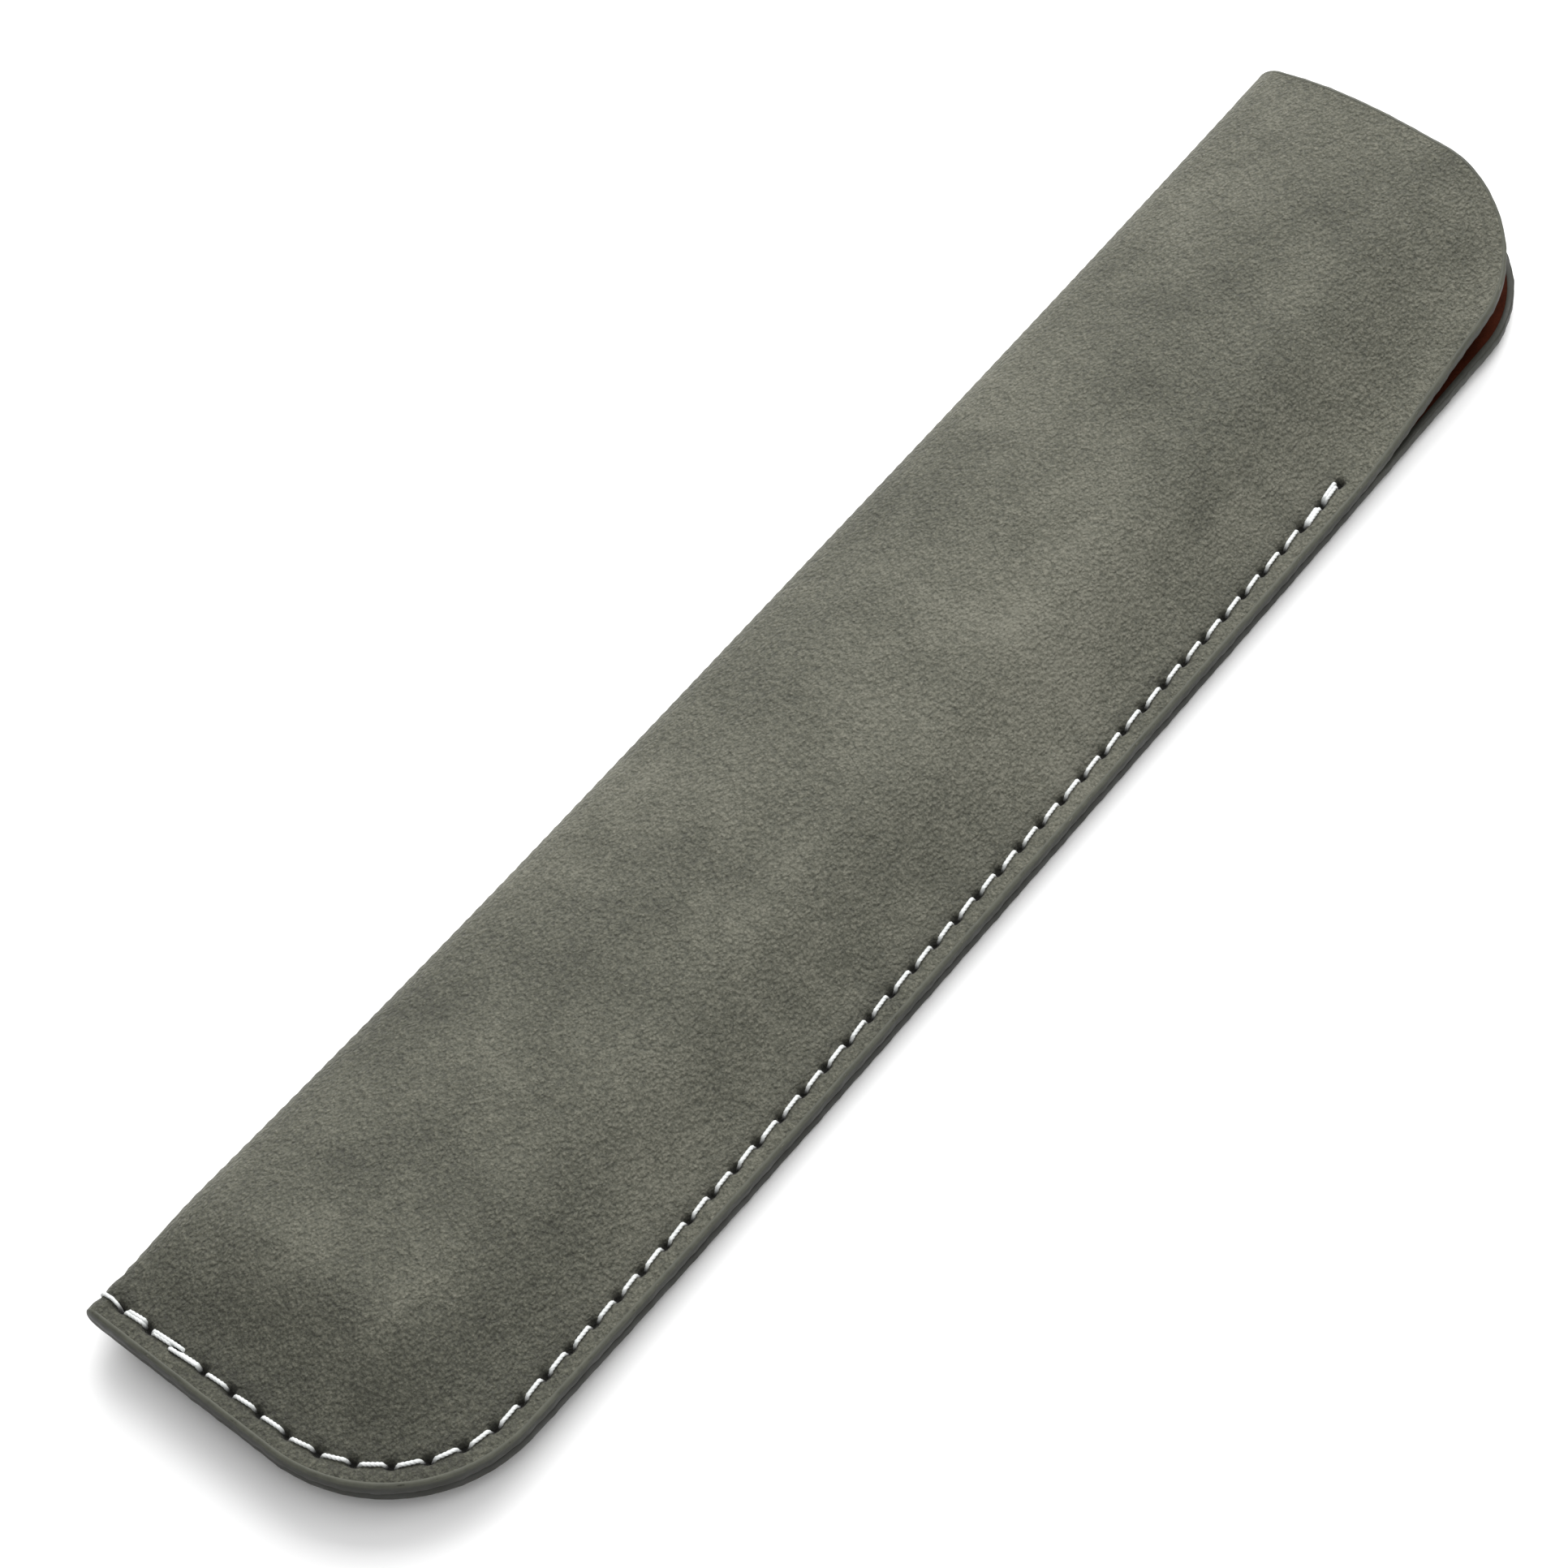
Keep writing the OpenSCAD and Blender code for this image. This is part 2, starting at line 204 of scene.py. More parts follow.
# ---------------------------------------------------------------- flat pattern of each ply
def edge_path(front, step, inset):
    """Free edge of the front or back ply in pattern coordinates (w, v), bottom end first, and its outward normal."""
    r, rt = CORNER_R - inset, MOUTH_R - inset
    w0 = -W_JOIN
    seg = []

    def run(fn, length):
        n = max(2, int(round(length / step)))
        seg.append(np.array([fn(t) for t in np.linspace(0, 1, n, endpoint=False)]))

    x0 = W_JOIN if front else w0
    run(lambda t: (x0 + (W - CORNER_R - x0) * t, inset), W - CORNER_R - x0)
    run(lambda t: (W - CORNER_R + r * math.sin(t * math.pi / 2), CORNER_R - r * math.cos(t * math.pi / 2)), CORNER_R * 1.57)
    run(lambda t: (W - inset, CORNER_R + (L - MOUTH_R - CORNER_R) * t), L - MOUTH_R - CORNER_R)
    run(lambda t: (W - MOUTH_R + rt * math.cos(t * math.pi / 2), L - MOUTH_R + rt * math.sin(t * math.pi / 2)), MOUTH_R * 1.57)
    p = np.concatenate(seg)
    if front:
        p[:, 0] -= DRAW_IN * open_share(p[:, 1])
        end = W - MOUTH_R - DRAW_IN
    else:
        end = W - MOUTH_R
    n = max(2, int(round((end - x0) / step)))
    t = np.linspace(0, 1, n + 1)[:, None]
    p = np.concatenate([p, np.array([[end, L - inset]]) * (1 - t) + np.array([[x0, L - inset]]) * t])
    tan = np.gradient(p, axis=0)
    tan[0], tan[-1] = (1, 0), (-1, 0)
    tan /= np.linalg.norm(tan, axis=1, keepdims=True)
    nrm = np.stack([tan[:, 1], -tan[:, 0]], 1)
    if not front:
        p[:, 0] *= -1
        nrm[:, 0] *= -1
    return p, nrm


def pattern(front, step, rings, grid, inset=EDGE_IN):
    """Triangulated flat pattern: points (w, v), triangles, depth of each point inside the edge, boundary loop."""
    path, nrm = edge_path(front, step, inset)
    n, m = len(path), len(rings)
    pts = np.concatenate([path - nrm * d for d in rings])
    depth = np.repeat(np.array(rings), n)
    faces = []
    for k in range(m - 1):
        a = k * n + np.arange(n - 1)
        b = a + n
        faces.append(np.stack([a, a + 1, b + 1], 1))
        faces.append(np.stack([a, b + 1, b], 1))
    faces = np.concatenate(faces)
    inner_loop = (m - 1) * n + np.arange(n)
    # the side where the two pieces meet
    v_top, v_bot = pts[inner_loop[-1]][1], pts[inner_loop[0]][1]
    nj = int(round((v_top - v_bot) / grid))
    jv = np.linspace(v_top, v_bot, nj + 1)[1:-1]
    joint = np.stack([np.full(len(jv), W_JOIN), jv], 1)
    dmax = rings[-1] + inset
    # points inside
    x0, x1 = (W_JOIN, W) if front else (-W, W_JOIN)
    rows = []
    nv = int((L - 2 * dmax) / (grid * 0.866))
    for j in range(1, nv):
        v = dmax + (L - 2 * dmax) * j / nv
        us = np.arange(x0 + (0.5 if j % 2 else 1.0) * grid, x1, grid)
        rows.append(np.stack([us, np.full(len(us), v)], 1))
    g = np.concatenate(rows)
    u = np.abs(g[:, 0]) + (DRAW_IN * open_share(g[:, 1]) if front else 0.0)
    v = g[:, 1]
    side = W - u
    c1 = (u > W - CORNER_R) & (v < CORNER_R)
    c2 = (u > W - MOUTH_R) & (v > L - MOUTH_R)
    dist = np.minimum(np.minimum(side, v), L - v)
    dist = np.where(c1, CORNER_R - np.hypot(u - W + CORNER_R, v - CORNER_R), dist)
    dist = np.where(c2, MOUTH_R - np.hypot(u - W + MOUTH_R, v - L + MOUTH_R), dist)
    dist = np.where((~front if isinstance(front, np.ndarray) else not front) | (g[:, 0] > 0), dist, np.minimum(v, L - v))
    keep = (dist > dmax + grid * 0.45) & (np.abs(g[:, 0] - W_JOIN) > grid * 0.4)
    g = g[keep]
    loop = np.concatenate([pts[inner_loop], joint])
    flat = [Vector((float(x), float(y))) for x, y in np.concatenate([loop, g])]
    nl = len(loop)
    out = delaunay_2d_cdt(flat, [], [list(range(nl))], 1, 1e-6)
    ids = [o[0] for o in out[3]]
    base = len(pts)
    index = np.empty(len(ids), int)
    for i, o in enumerate(ids):
        index[i] = inner_loop[o] if o < n else base + (o - n)
    pts = np.concatenate([pts, joint, g])
    depth = np.concatenate([depth, np.full(len(joint) + len(g), rings[-1] + 1.0)])
    tri = np.array([[index[i] for i in f] for f in out[2]], int)
    faces = np.concatenate([faces, tri])
    a, b, c = (pts[faces[:, i]] for i in range(3))
    area = (b[:, 0] - a[:, 0]) * (c[:, 1] - a[:, 1]) - (b[:, 1] - a[:, 1]) * (c[:, 0] - a[:, 0])
    faces[area < 0] = faces[area < 0][:, ::-1]
    faces = faces[np.abs(area) > 1e-9]
    # boundary loop: free edge, then up the joint through the ring ends and the joint points
    ends_top = [k * n + n - 1 for k in range(1, m)]
    ends_bot = [k * n for k in range(m - 1, 0, -1)]
    boundary = list(range(n)) + ends_top + [base + i for i in range(len(joint))] + ends_bot
    return pts, faces, depth, boundary


def mesh_object(name, verts, faces, sharp=None, painted_shade=None):
    me = bpy.data.meshes.new(name)
    me.from_pydata([tuple(p) for p in verts], [], [tuple(int(i) for i in f) for f in faces])
    # painted shade per point, which the materials use to darken the base colour
    if painted_shade is not None:
        me.attributes.new("painted_shade", "FLOAT", "POINT").data.foreach_set("value", np.asarray(painted_shade, np.float32))
    me.validate()
    bm = bmesh.new()
    bm.from_mesh(me)
    bmesh.ops.recalc_face_normals(bm, faces=bm.faces)
    bm.to_mesh(me)
    bm.free()
    me.shade_smooth()
    if sharp:
        me.set_sharp_from_angle(angle=math.radians(sharp))
    ob = bpy.data.objects.new(name, me)
    bpy.context.scene.collection.objects.link(ob)
    return ob


def shell(name, front, step, rings, grid, o1, o2, worked, inset=EDGE_IN):
    """One ply layer as a closed solid: outer face at depth o1, inner face at depth o2."""
    pts, faces, depth, boundary = pattern(front, step, rings, grid, inset)
    w, v = pts[:, 0], pts[:, 1]
    p, n, _, _ = outer_frame(w, v)
    up = -o1 * np.ones(len(w))
    if worked:
        d = np.clip(depth, 0, ROUND)
        up = up + relief(w, v) - (ROUND - np.sqrt(np.maximum(ROUND ** 2 - (ROUND - d) ** 2, 0)))
    a = p + n * up[:, None]
    b = p - n * o2
    if not front:
        a[:, 2] = np.maximum(a[:, 2], 0.0)
    count = len(a)
    verts = to_row(np.concatenate([a, b]))
    loop = np.array(boundary)
    nxt = np.roll(loop, -1)
    # the loop runs anticlockwise in the pattern for the front and clockwise for the back
    area = np.sum(w[loop] * v[nxt] - w[nxt] * v[loop])
    if area < 0:
        loop, nxt = nxt, loop
    walls = np.concatenate([np.stack([loop, loop + count, nxt + count], 1), np.stack([loop, nxt + count, nxt], 1)])
    all_faces = np.concatenate([faces, faces[:, ::-1] + count, walls])
    # painted shade in the needle holes and along the inner side of the seam, on the outer face only
    painted_shade = np.concatenate([shading(w, v), 0 * w]) if worked else None
    return mesh_object(name, verts, all_faces, sharp=48, painted_shade=painted_shade)


def edge_bead(name, front, step):
    """Painted edge of one ply, a rounded bead that stands just proud of the leather."""
    path, nrm = edge_path(front, step, EDGE_IN)
    w, v = path[:, 0], path[:, 1]
    p, n, dw, dv = outer_frame(w, v)
    out = dw * nrm[:, :1] + dv * nrm[:, 1:]
    out /= np.linalg.norm(out, axis=1, keepdims=True)
    deep = PLY + 0.03
    # on the front the paint laps over the rounded edge of the leather as a narrow smooth line
    top = ([(-0.52, 0.30), (-0.44, 0.08), (-0.38, -0.010), (-0.28, -0.028), (-0.17, -0.010), (-0.06, 0.05), (0.03, 0.15)] if front
           else [(-0.45, 0.30), (-0.10, 0.15), (0.000, 0.155), (0.045, 0.20)])
    prof = top + [(0.085, 0.32), (0.11, 0.52), (0.115, 0.75), (0.105, 0.98), (0.075, 1.18), (0.03, 1.33),
                  (-0.02, deep - 0.02), (-0.10, deep), (-0.50, deep), (-0.62, deep - 0.06)]
    lift = relief(w, v) if front else 0.0 * w
    s = np.concatenate([[0], np.cumsum(np.linalg.norm(np.diff(path, axis=0), axis=1))])
    # thicker over the lining where the mouth is open
    open_part = smooth((v - SEAM_END - 1.0) / 3.0)
    uneven = smooth(np.minimum(s, s[-1] - s) / 3.0) * (0.018 * np.sin(s * 1.9) + 0.014 * np.sin(s * 4.3 + 1.0) + 0.012 * np.sin(s * 0.7 + 2.0))
    rings, shade = [], []
    for i, (x, o) in enumerate(prof):
        # painted shade: the paint is darkened towards the bottom of the edge, less so at the open mouth, and the
        # back ply's edge more than the front's
        side = float(smooth((o - 0.10) / 0.32))
        shade.append(((0.74 * side if front else 0.38 + 0.40 * side) + 0.06 * side * smooth((o - 1.0) / 0.3)) * (1 - 0.22 * open_part))
        bump = uneven * (1.0 if len(top) - 2 <= i <= len(prof) - 4 else 0.0) * (1 + 0.6 * math.sin(i * 1.7))
        down = 0.06 * open_part if o > 1.3 else (-lift if o < 0.2 else 0.0 * lift)
        rings.append(p + out * (x + bump)[:, None] - n * (o + down)[:, None])
    m = len(prof)
    verts = np.stack(rings, 1).reshape(-1, 3)
    k = len(path)
    if not front:
        verts[:, 2] = np.maximum(verts[:, 2], 0.0)
    faces = []
    for i in range(m):
        j = (i + 1) % m
        a = np.arange(k - 1) * m
        faces.append(np.stack([a + i, a + j, a + m + j, a + m + i], 1))
    faces = np.concatenate(faces)
    if front:
        faces = faces[:, ::-1]
    ob_faces = [tuple(f) for f in faces]
    cap0 = tuple(range(m)) if front else tuple(range(m))[::-1]
    cap1 = tuple(range((k - 1) * m, k * m))[::-1] if front else tuple(range((k - 1) * m, k * m))
    return mesh_object(name, to_row(verts), ob_faces + [cap0, cap1], sharp=70, painted_shade=np.stack(shade, 1).reshape(-1))


# ---------------------------------------------------------------- thread
def strand(points, side, radius, turns_per_mm=0.85, phase=0.0, sides=16, taper=True):
    """Twisted three-ply thread along points; returns vertices and quads."""
    pts = np.asarray(points, float)
    t = np.gradient(pts, axis=0)
    t /= np.linalg.norm(t, axis=1, keepdims=True)
    l = side - t * np.sum(side * t, axis=1, keepdims=True)
    l /= np.linalg.norm(l, axis=1, keepdims=True)
    m = np.cross(t, l)
    s = np.concatenate([[0], np.cumsum(np.linalg.norm(np.diff(pts, axis=0), axis=1))])
    n = len(pts)
    verts = []
    for i in range(n):
        a = np.arange(sides) / sides * 2 * math.pi
        lobe = 1 + 0.15 * np.cos(3 * (a - phase - s[i] * turns_per_mm * 2 * math.pi / 1.0))
        r = radius * lobe * (1 - 0.22 * abs(2 * i / (n - 1) - 1) ** 3)
        verts.append(pts[i] + (np.cos(a) * r)[:, None] * l[i] * 1.06 + (np.sin(a) * r)[:, None] * m[i] * 0.94)
    verts = np.concatenate(verts)
    faces = []
    for i in range(n - 1):
        for j in range(sides):
            k = (j + 1) % sides
            faces.append((i * sides + j, i * sides + k, (i + 1) * sides + k, (i + 1) * sides + j))
    faces.append(tuple(range(sides))[::-1])
    faces.append(tuple((n - 1) * sides + j for j in range(sides)))
    return verts, faces


def stitch_run(s0, s1, front, lean, lift, radius, phase, shift=0.0, n=33):
    """One stitch from hole to hole over the leather."""
    t = np.linspace(-1, 1, n)
    s = (s0 + s1) / 2 + t * (s1 - s0) / 2
    half = (s1 - s0) / 2
    du = seam_xy(s, 0.0)
    du1 = seam_xy(s, 1.0)
    inward = np.stack([du1[0] - du[0], du1[1] - du[1], 0 * s], 1)
    off = shift + lean * t
    uu, vv = seam_xy(s, off)
    z_surf = (arch(vv) + 2 * PLY + clear(uu, vv)) if front else arch(vv)
    x = np.abs(t) * half
    dive = smooth((x - (half - 0.80)) / 0.62)
    shape = lift - (lift + 1.05) * dive - 0.05 * np.abs(t) ** 2
    z = z_surf + (shape if front else -shape)
    return np.stack([uu, vv, z], 1), inward


def build_thread(name, front):
    verts, faces, dark, base = [], [], [], 0
    rng = np.random.default_rng(7 if front else 11)
    runs = []
    r0 = 0.175 if front else 0.165
    lift = 0.05 if front else -0.18
    for k in range(N_STITCH - 1):
        lean = (0.13 if front else -0.10) + rng.normal(0, 0.018)
        runs.append((HOLES[k] + rng.normal(0, 0.03), HOLES[k + 1] + rng.normal(0, 0.03), lean, lift + rng.normal(0, 0.012), rng.uniform(0, 6.28), rng.normal(0, 0.015)))
    # back stitches at both ends of the seam
    doubled = [(HOLES[0] + 0.15, HOLES[1] - 0.05, 0.24), (HOLES[1] - 0.1, HOLES[2] + 1.2, 0.22), (HOLES[2] - 1.1, HOLES[3] + 0.05, -0.17),
               (HOLES[-2] + 0.05, HOLES[-1] + 0.25, 0.27), (HOLES[-3] + 0.1, HOLES[-2] + 0.15, -0.25)]
    for s0, s1, sh in doubled:
        runs.append((s0, s1, (0.16 if front else -0.12), lift + (0.06 if front else 0.0), rng.uniform(0, 6.28), sh))
    for s0, s1, lean, lf, ph, sh in runs:
        p, side = stitch_run(s0, s1, front, lean, lf, r0, ph, sh)
        a, f = strand(p, side, r0, phase=ph)
        if not front:
            a[:, 2] = np.maximum(a[:, 2], 0.002)
            f = [tuple(reversed(q)) for q in f]
        verts.append(a)
        # painted shade: each stitch darkens towards its ends, where it dives into the needle holes
        x = np.abs(np.linspace(-1, 1, len(p))) * (s1 - s0) / 2
        dark.append(np.repeat(smooth((x - ((s1 - s0) / 2 - (0.66 if front else 0.45))) / 0.24), 16))
        faces += [tuple(i + base for i in q) for q in f]
        base += len(a)
    if front:
        # the first stitch goes over the fold to the back
        r = float(fold_rad(np.array([INSET]))[0])
        path, side = [], []
        zc = float(arch(np.array([INSET]))[0])
        for s in np.linspace(FIRST_HOLE, r, 7):
            t = (s - r) / (FIRST_HOLE - r)
            path.append((s, INSET + 0.10 - 0.16 * t, zc + 2 * r + 0.13 - 1.05 * t ** 5))
            side.append((0, 1, 0))
        for a in np.linspace(80, -80, 19):
            c = math.radians(a)
            rr = r + 0.02
            path.append((r - rr * math.cos(c), INSET + 0.10 + 0.05 * (1 - a / 80), zc + r + rr * math.sin(c)))
            side.append((0, 1, 0))
        for s in np.linspace(r, FIRST_HOLE, 7):
            t = (s - r) / (FIRST_HOLE - r)
            path.append((s, INSET + 0.20 - 0.2 * t, zc + 0.16 + 0.9 * t ** 5))
            side.append((0, 1, 0))
        path, side = np.array(path), np.array(side, float)
        a, f = strand(path, side, r0 * 0.96, phase=1.0)
        verts.append(a)
        # painted shade on both ends of the stitch over the fold
        e = np.minimum(np.arange(len(path)), np.arange(len(path))[::-1])
        dark.append(np.repeat(smooth(1 - e / 3.0), 16))
        faces += [tuple(i + base for i in q) for q in f]
        base += len(a)
    return mesh_object(name, to_row(np.concatenate(verts)), faces, painted_shade=np.concatenate(dark))


# ---------------------------------------------------------------- materials
def new_material(name):
    m = bpy.data.materials.new(name)
    m.use_nodes = True
    nt = m.node_tree
    for x in list(nt.nodes):
        if x.type not in ("BSDF_PRINCIPLED", "OUTPUT_MATERIAL"):
            nt.nodes.remove(x)
    return m, nt, nt.nodes["Principled BSDF"]


def node(nt, kind, **values):
    x = nt.nodes.new(kind)
    for k, v in values.items():
        if hasattr(x, k):
            setattr(x, k, v)
        else:
            x.inputs[k.replace("_", " ")].default_value = v
    return x


def noise(nt, coord, scale, detail=3.0, rough=0.55, distortion=0.0, stretch=None, at=None):
    src = coord
    if stretch or at:
        mp = nt.nodes.new("ShaderNodeMapping")
        mp.inputs["Scale"].default_value = stretch or (1.0, 1.0, 1.0)
        mp.inputs["Location"].default_value = at or (0.0, 0.0, 0.0)
        nt.links.new(coord, mp.inputs["Vector"])
        src = mp.outputs["Vector"]
    n = nt.nodes.new("ShaderNodeTexNoise")
    n.inputs["Scale"].default_value = scale
    n.inputs["Detail"].default_value = detail
    n.inputs["Roughness"].default_value = rough
    n.inputs["Distortion"].default_value = distortion
    nt.links.new(src, n.inputs["Vector"])
    return n.outputs["Fac"]


def math_node(nt, op, a, b=None, clamp=False):
    n = nt.nodes.new("ShaderNodeMath")
    n.operation = op
    n.use_clamp = clamp
    for i, x in enumerate((a, b)):
        if x is None:
            continue
        if isinstance(x, (int, float)):
            n.inputs[i].default_value = x
        else:
            nt.links.new(x, n.inputs[i])
    return n.outputs[0]


def spread(nt, x, lo, hi, a, b):
    n = nt.nodes.new("ShaderNodeMapRange")
    n.inputs["From Min"].default_value = lo
    n.inputs["From Max"].default_value = hi
    n.inputs["To Min"].default_value = a
    n.inputs["To Max"].default_value = b
    nt.links.new(x, n.inputs["Value"])
    return n.outputs["Result"]


def ramp(nt, x, stops):
    n = nt.nodes.new("ShaderNodeValToRGB")
    el = n.color_ramp.elements
    while len(el) > len(stops):
        el.remove(el[-1])
    while len(el) < len(stops):
        el.new(0.5)
    for e, (pos, col) in zip(el, stops):
        e.position = pos
        e.color = (*col, 1.0)
    nt.links.new(x, n.inputs["Fac"])
    return n.outputs["Color"]


def bump(nt, height, strength, distance, normal=None):
    n = nt.nodes.new("ShaderNodeBump")
    n.inputs["Strength"].default_value = strength
    n.inputs["Distance"].default_value = distance
    nt.links.new(height, n.inputs["Height"])
    if normal is not None:
        nt.links.new(normal, n.inputs["Normal"])
    return n.outputs["Normal"]


def dim(nt, col, bs):
    """Base colour, darkened by the painted shade stored on the mesh."""
    painted_shade = nt.nodes.new("ShaderNodeAttribute")
    painted_shade.attribute_name = "painted_shade"
    mix = nt.nodes.new("ShaderNodeMix")
    mix.data_type = "RGBA"
    nt.links.new(painted_shade.outputs["Fac"], mix.inputs[0])
    nt.links.new(col, [k for k in mix.inputs if k.type == "RGBA" and k.name == "A"][0])
    [k for k in mix.inputs if k.type == "RGBA" and k.name == "B"][0].default_value = (0.004, 0.004, 0.003, 1.0)
    nt.links.new([o for o in mix.outputs if o.type == "RGBA"][0], bs.inputs["Base Color"])


def leather_material():
    m, nt, bs = new_material("nubuck_leather")
    co = nt.nodes.new("ShaderNodeTexCoord").outputs["Object"]
    clouds = noise(nt, co, 34.0, 3.0, 0.55, 0.6, at=(-0.078, 0.569, 0.477))
    patches = noise(nt, co, 110.0, 3.0, 0.6, 0.8, at=(-0.519, -0.16, 0.536))
    streaks = noise(nt, co, 60.0, 3.0, 0.6, 0.3, stretch=(1.0, 0.45, 1.0), at=(-0.221, -0.007, -0.539))
    grain = noise(nt, co, 1900.0, 3.0, 0.65)
    fine = noise(nt, co, 4400.0, 2.0, 0.6)
    crease = noise(nt, co, 520.0, 4.0, 0.62, 1.2, stretch=(1.0, 0.55, 1.0))
    # pebbles about 0.45 mm wide, a little longer along the sleeve, with creases between them
    warp = nt.nodes.new("ShaderNodeTexNoise")
    warp.inputs["Scale"].default_value = 900.0
    nt.links.new(co, warp.inputs["Vector"])
    shift = nt.nodes.new("ShaderNodeVectorMath")
    shift.operation = "SCALE"
    shift.inputs["Scale"].default_value = 0.0005
    nt.links.new(warp.outputs["Color"], shift.inputs[0])
    moved = nt.nodes.new("ShaderNodeVectorMath")
    moved.operation = "ADD"
    nt.links.new(co, moved.inputs[0])
    nt.links.new(shift.outputs["Vector"], moved.inputs[1])
    mp = nt.nodes.new("ShaderNodeMapping")
    mp.inputs["Scale"].default_value = (1.0, 0.72, 1.0)
    nt.links.new(moved.outputs["Vector"], mp.inputs["Vector"])
    cell = nt.nodes.new("ShaderNodeTexVoronoi")
    cell.feature = "SMOOTH_F1"
    cell.inputs["Scale"].default_value = 2900.0
    cell.inputs["Smoothness"].default_value = 0.6
    nt.links.new(mp.outputs["Vector"], cell.inputs["Vector"])
    pebble = spread(nt, cell.outputs["Distance"], 0.05, 0.75, 1.0, 0.0)
    along = nt.nodes.new("ShaderNodeSeparateXYZ")
    nt.links.new(co, along.inputs["Vector"])
    # painted shade: the leather is darkened towards the bottom end, and lightest from the middle up
    painted_end_shade = spread(nt, along.outputs["Y"], -0.085, 0.0, -0.058, 0.03)
    tone = math_node(nt, "ADD", math_node(nt, "MULTIPLY", clouds, 0.55), math_node(nt, "MULTIPLY", patches, 0.27))
    tone = math_node(nt, "ADD", tone, math_node(nt, "MULTIPLY", streaks, 0.18))
    tone = math_node(nt, "ADD", tone, math_node(nt, "MULTIPLY", spread(nt, grain, 0.3, 0.7, -1.0, 1.0), 0.10))
    tone = math_node(nt, "ADD", tone, math_node(nt, "MULTIPLY", spread(nt, pebble, 0.0, 1.0, -1.0, 1.0), 0.06))
    tone = math_node(nt, "ADD", tone, painted_end_shade)
    tone = math_node(nt, "ADD", tone, math_node(nt, "MULTIPLY", spread(nt, fine, 0.3, 0.7, -1.0, 1.0), 0.14))
    col = ramp(nt, tone, [(0.22, (0.033, 0.033, 0.025)), (0.40, (0.064, 0.065, 0.049)), (0.53, (0.097, 0.097, 0.074)), (0.74, (0.160, 0.157, 0.124))])
    dim(nt, col, bs)
    rough = spread(nt, grain, 0.3, 0.7, 0.66, 0.86)
    nt.links.new(rough, bs.inputs["Roughness"])
    bs.inputs["Specular IOR Level"].default_value = 0.30
    bs.inputs["Sheen Weight"].default_value = 0.16
    bs.inputs["Sheen Roughness"].default_value = 0.45
    bs.inputs["Sheen Tint"].default_value = (0.80, 0.79, 0.72, 1.0)
    h = math_node(nt, "ADD", math_node(nt, "MULTIPLY", grain, 0.6), math_node(nt, "MULTIPLY", fine, 0.25))
    h = math_node(nt, "ADD", h, math_node(nt, "MULTIPLY", crease, 0.75))
    h = math_node(nt, "ADD", h, math_node(nt, "MULTIPLY", pebble, 0.45))
    nt.links.new(bump(nt, h, 1.0, 0.00031), bs.inputs["Normal"])
    return m


def lining_material():
    m, nt, bs = new_material("brown_lining")
    co = nt.nodes.new("ShaderNodeTexCoord").outputs["Object"]
    cloud = noise(nt, co, 90.0, 3.0, 0.6, 0.4)
    nap = noise(nt, co, 2600.0, 3.0, 0.7)
    tone = math_node(nt, "ADD", math_node(nt, "MULTIPLY", cloud, 0.6), math_node(nt, "MULTIPLY", nap, 0.4))
    nt.links.new(ramp(nt, tone, [(0.32, (0.022, 0.0040, 0.0012)), (0.68, (0.060, 0.012, 0.0040))]), bs.inputs["Base Color"])
    bs.inputs["Roughness"].default_value = 0.85
    bs.inputs["Specular IOR Level"].default_value = 0.06
    bs.inputs["Sheen Weight"].default_value = 0.01
    bs.inputs["Sheen Roughness"].default_value = 0.5
    nt.links.new(bump(nt, nap, 0.5, 0.00012), bs.inputs["Normal"])
    return m


def paint_material():
    m, nt, bs = new_material("edge_paint_finish")
    co = nt.nodes.new("ShaderNodeTexCoord").outputs["Object"]
    a = noise(nt, co, 350.0, 3.0, 0.6, 0.3)
    b = noise(nt, co, 2200.0, 3.0, 0.6)
    tone = math_node(nt, "ADD", math_node(nt, "MULTIPLY", a, 0.7), math_node(nt, "MULTIPLY", b, 0.3))
    dim(nt, ramp(nt, tone, [(0.30, (0.052, 0.054, 0.041)), (0.70, (0.092, 0.094, 0.072))]), bs)
    nt.links.new(spread(nt, a, 0.3, 0.7, 0.48, 0.68), bs.inputs["Roughness"])
    bs.inputs["Specular IOR Level"].default_value = 0.32
    h = math_node(nt, "ADD", math_node(nt, "MULTIPLY", a, 0.7), math_node(nt, "MULTIPLY", b, 0.4))
    nt.links.new(bump(nt, h, 0.4, 0.00012), bs.inputs["Normal"])
    return m


def thread_material():
    m, nt, bs = new_material("white_thread")
    co = nt.nodes.new("ShaderNodeTexCoord").outputs["Object"]
    fuzz = noise(nt, co, 7000.0, 3.0, 0.7)
    slub = noise(nt, co, 900.0, 2.0, 0.6)
    tone = math_node(nt, "ADD", math_node(nt, "MULTIPLY", fuzz, 0.5), math_node(nt, "MULTIPLY", slub, 0.5))
    dim(nt, ramp(nt, tone, [(0.30, (0.50, 0.52, 0.51)), (0.62, (0.78, 0.80, 0.79))]), bs)
    bs.inputs["Roughness"].default_value = 0.55
    bs.inputs["Sheen Weight"].default_value = 0.4
    bs.inputs["Sheen Roughness"].default_value = 0.4
    nt.links.new(bump(nt, fuzz, 0.4, 0.00004), bs.inputs["Normal"])
    return m


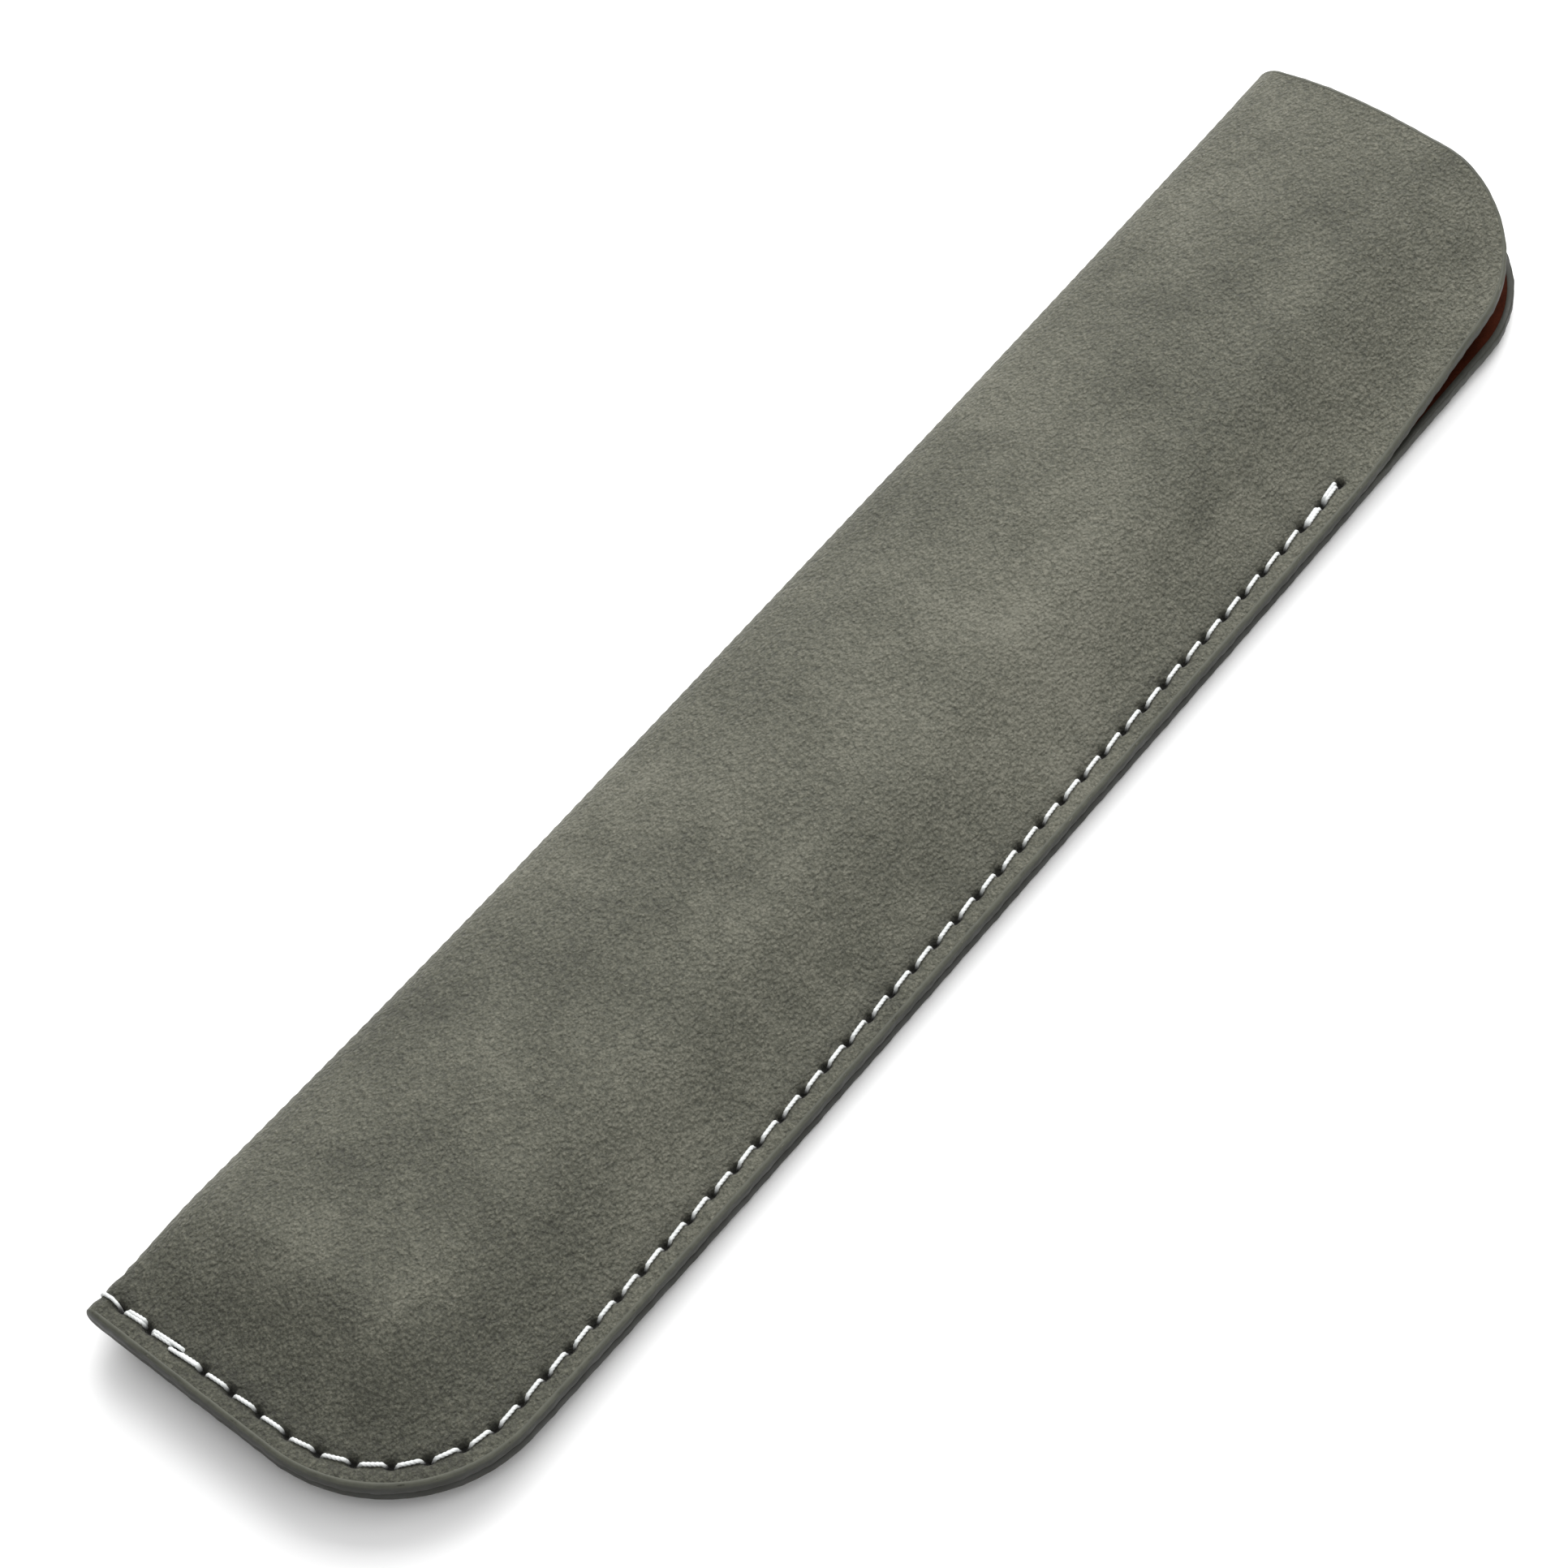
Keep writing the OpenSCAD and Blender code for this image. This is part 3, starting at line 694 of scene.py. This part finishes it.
def cement_material():
    m, nt, bs = new_material("dry_cement")
    co = nt.nodes.new("ShaderNodeTexCoord").outputs["Object"]
    a = noise(nt, co, 700.0, 3.0, 0.6, 0.5)
    nt.links.new(ramp(nt, a, [(0.3, (0.30, 0.22, 0.10)), (0.7, (0.52, 0.42, 0.22))]), bs.inputs["Base Color"])
    bs.inputs["Roughness"].default_value = 0.5
    nt.links.new(bump(nt, a, 0.4, 0.0001), bs.inputs["Normal"])
    return m


LEATHER_MAT = leather_material()
LINING_MAT = lining_material()
PAINT_MAT = paint_material()
THREAD_MAT = thread_material()
CEMENT_MAT = cement_material()


def finish_piece(ob, mat, slot, *nodes):
    ob.data.materials.clear()
    ob.data.materials.append(mat)
    if nodes:
        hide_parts(*nodes)
    return ob


# ---------------------------------------------------------------- pieces
FINE = [0.0, 0.03, 0.08, 0.15, 0.24, 0.36, 0.55, 0.80, 1.05, 1.28, 1.46, 1.62, 1.78, 1.93, 2.08, 2.24, 2.40, 2.60, 2.90, 3.30, 3.80]
COARSE = [0.0, 0.5, 1.4, 2.6]
front_leather = shell("front_leather", True, 0.20, FINE, 0.9, 0.0, LEATHER, True)
back_leather = shell("back_leather", False, 0.22, FINE, 1.2, 0.0, LEATHER, True)
front_lining = shell("front_lining", True, 0.7, COARSE, 1.4, LEATHER - 0.01, PLY, False, inset=0.42)
back_lining = shell("back_lining", False, 0.7, COARSE, 1.6, LEATHER - 0.01, PLY, False, inset=0.42)
front_edge = edge_bead("front_edge_paint", True, 0.35)
back_edge = edge_bead("back_edge_paint", False, 0.35)
needle = build_thread("needle_stitches", True)
bobbin = build_thread("bobbin_stitches", False)

# The hinge axis of the first joint, and the direction across it in the floor plane that points towards +x and +y.
joint = frame["joints"][0]
axis = Vector(joint["axis"]).normalized()
toward = Vector((axis[1] * -1, axis[0], 0)).normalized()
if toward.dot(Vector((1, 1, 0))) < 0:
    toward = -toward

finish_piece(front_leather, LEATHER_MAT, "leather", "outer_leather", "lip_leather")
finish_piece(back_leather, LEATHER_MAT, "leather", "outer_leather")
finish_piece(front_lining, LINING_MAT, "lining", "lining", "lip_lining")
finish_piece(back_lining, LINING_MAT, "lining", "lining")
finish_piece(front_edge, PAINT_MAT, "edge_paint", "seam_edge_paint", "lip_edge_paint")
finish_piece(back_edge, PAINT_MAT, "edge_paint", "seam_edge_paint", "mouth_edge_paint")
finish_piece(needle, THREAD_MAT, "thread", "needle_thread")
finish_piece(bobbin, THREAD_MAT, "thread", "bobbin_thread")
for piece in (front_leather, front_lining, front_edge):
    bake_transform(piece)
for piece in (back_leather, back_lining, back_edge, needle, bobbin):
    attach(piece, "sleeve")
for name, ob in frame["nodes"].items():
    mat = {"seam_cement": CEMENT_MAT}.get(name)
    if mat:
        for s in ob.material_slots:
            s.material = mat

# ---------------------------------------------------------------- floor, light
bpy.ops.mesh.primitive_plane_add(size=6.0, location=(0, 0, -0.00005))
floor = bpy.context.object
floor.name = "floor"
fm, fnt, fbs = new_material("pale_floor")
fbs.inputs["Base Color"].default_value = (0.93, 0.93, 0.93, 1)
fbs.inputs["Roughness"].default_value = 0.9
fbs.inputs["Specular IOR Level"].default_value = 0.1
floor.data.materials.append(fm)


def area_light(name, loc, target, size, power, color=(1, 1, 1)):
    d = bpy.data.lights.new(name, "AREA")
    d.shape = "SQUARE"
    d.size = size
    d.energy = power
    d.color = color
    o = bpy.data.objects.new(name, d)
    bpy.context.scene.collection.objects.link(o)
    o.location = loc
    o.rotation_euler = (Vector(target) - Vector(loc)).to_track_quat("-Z", "Y").to_euler()
    return o


area_light("key", (-0.50, 0.85, 0.85), (0, 0.03, 0), 1.1, 23.0)
area_light("top", (0.25, 0.1, 1.3), (0, 0, 0), 1.2, 8.0)
world = bpy.data.worlds.new("studio")
bpy.context.scene.world = world
world.use_nodes = True
world.node_tree.nodes["Background"].inputs["Color"].default_value = (1.0, 1.0, 1.0, 1.0)
world.node_tree.nodes["Background"].inputs["Strength"].default_value = 0.46
bpy.context.scene.view_settings.view_transform = "Standard"
bpy.context.scene.view_settings.look = "None"
